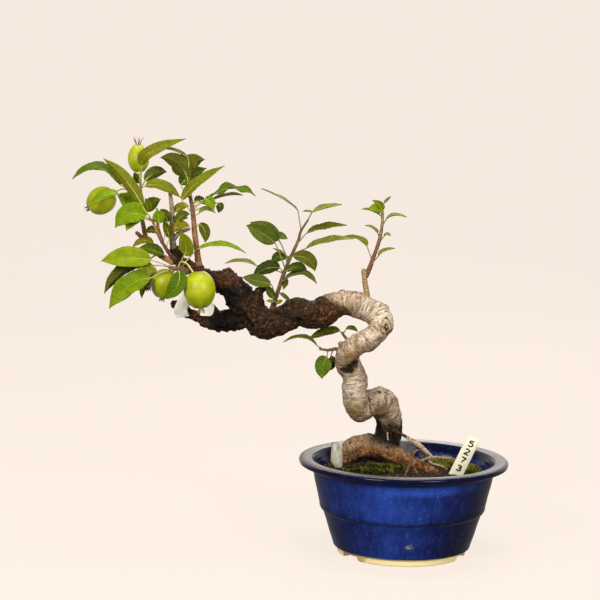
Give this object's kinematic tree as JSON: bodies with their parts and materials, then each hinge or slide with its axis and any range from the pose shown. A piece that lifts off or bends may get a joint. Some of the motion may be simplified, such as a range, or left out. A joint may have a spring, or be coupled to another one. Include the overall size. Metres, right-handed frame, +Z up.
{
  "type": "hime tsugaru apple bonsai",
  "caption": "Small-fruited apple tree trained as a bonsai, with a twisted trunk, leafy shoots and green apples, in a round blue glazed pot.",
  "frame": {"origin": "bottom centre of the whole object's box, on the plane that the pot's foot ring stands on", "axes": "+Z up, +X to the right of the tree's front view, +Y away from its front"},
  "size_m": [0.499, 0.24, 0.4698],
  "materials": {
    "blue_glaze": "glossy cobalt glaze, mottled, over a bare clay foot ring",
    "soil": "dark damp granules",
    "moss": "matt green moss",
    "bark": "rough wrinkled bark, pale grey to nearly black",
    "foliage": "fresh leaves on brown twigs, softly glossy",
    "apple_skin": "smooth glossy green skin",
    "label_plastic": "cream plastic, weathered",
    "tie_plastic": "thin white plastic strip"
  },
  "bodies": {
    "root": {"pot": "blue_glaze", "soil": "soil", "moss_front": "moss", "moss_middle": "moss", "moss_right": "moss", "trunk": "bark", "left_twig": "foliage", "diagonal_twig": "foliage", "grey_twig": "foliage", "right_twig": "foliage", "front_spur": "foliage", "middle_shoot": "foliage", "right_shoot": "foliage", "low_shoot": "foliage", "under_leaf": "foliage", "apple_1": "apple_skin", "apple_2": "apple_skin", "apple_3": "apple_skin", "apple_4": "apple_skin", "apple_5": "apple_skin", "name_label": "label_plastic", "weathered_label": "label_plastic", "branch_tie": "tie_plastic"}
  },
  "joints": []
}
